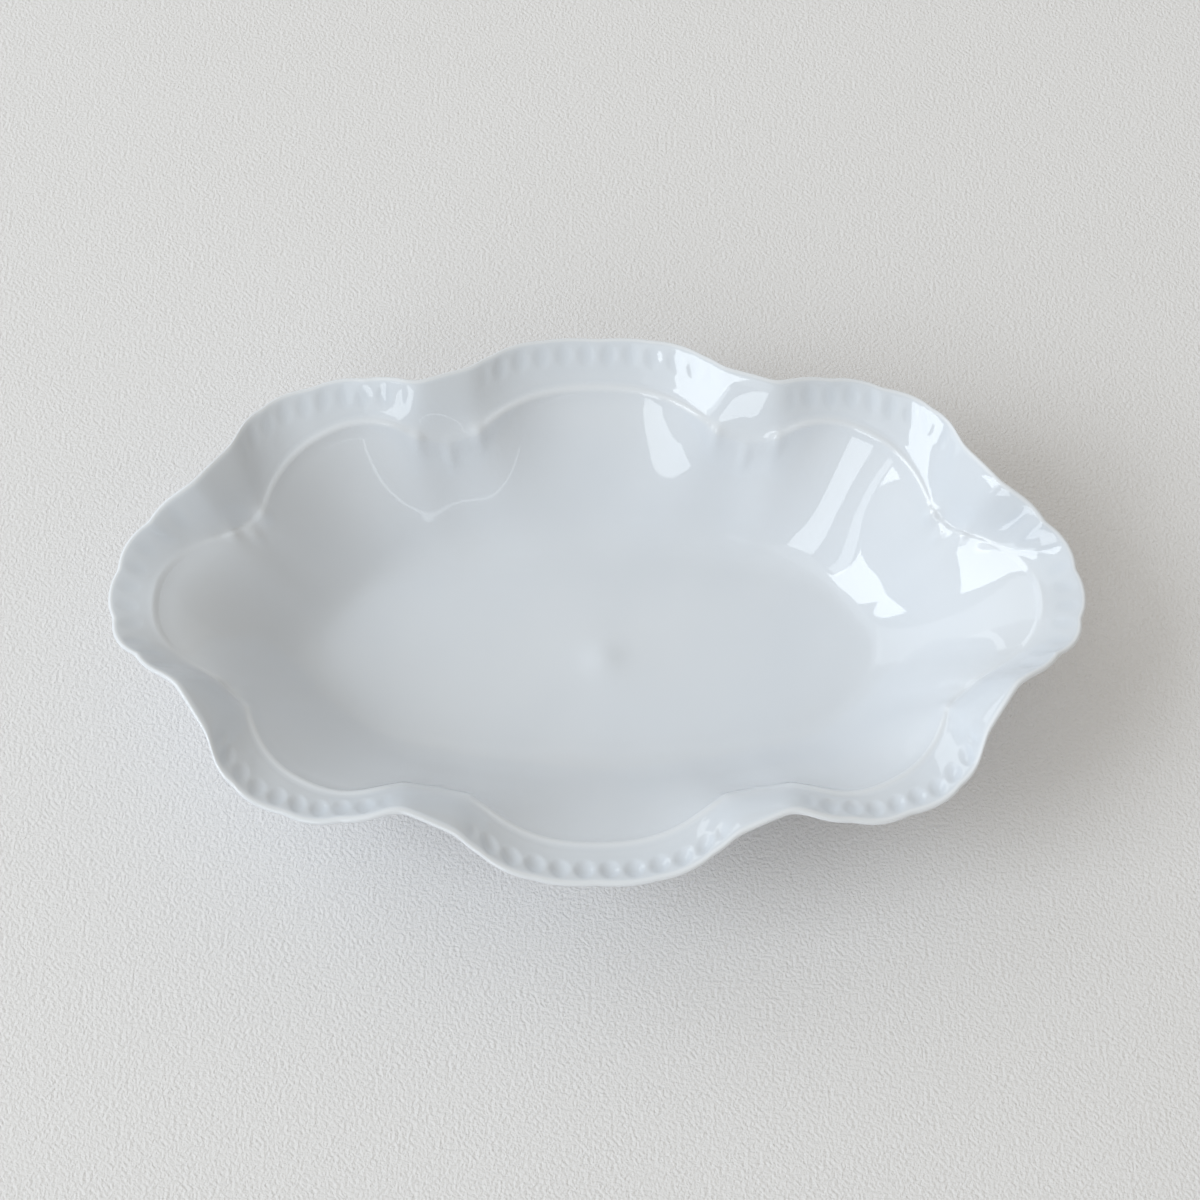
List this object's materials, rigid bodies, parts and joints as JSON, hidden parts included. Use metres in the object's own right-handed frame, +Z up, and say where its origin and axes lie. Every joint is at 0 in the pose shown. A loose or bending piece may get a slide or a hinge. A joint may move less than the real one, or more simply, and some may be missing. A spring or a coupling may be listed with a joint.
{
  "type": "trinket dish",
  "caption": "Oval white glazed porcelain trinket dish with a scalloped, dimpled rim, scroll ridges round a smooth well, and an oval foot ring underneath.",
  "frame": {"origin": "on the table, under the middle of the dish", "axes": "+X along the length of the dish, +Y across it, +Z up"},
  "size_m": [0.21, 0.132, 0.0434],
  "materials": {
    "glaze": "glossy white glaze",
    "bare_foot": "glazed sides, bare ground edge"
  },
  "bodies": {
    "root": {"dish_body": "glaze", "foot_ring": "bare_foot", "centre_pip": "glaze"}
  },
  "joints": []
}
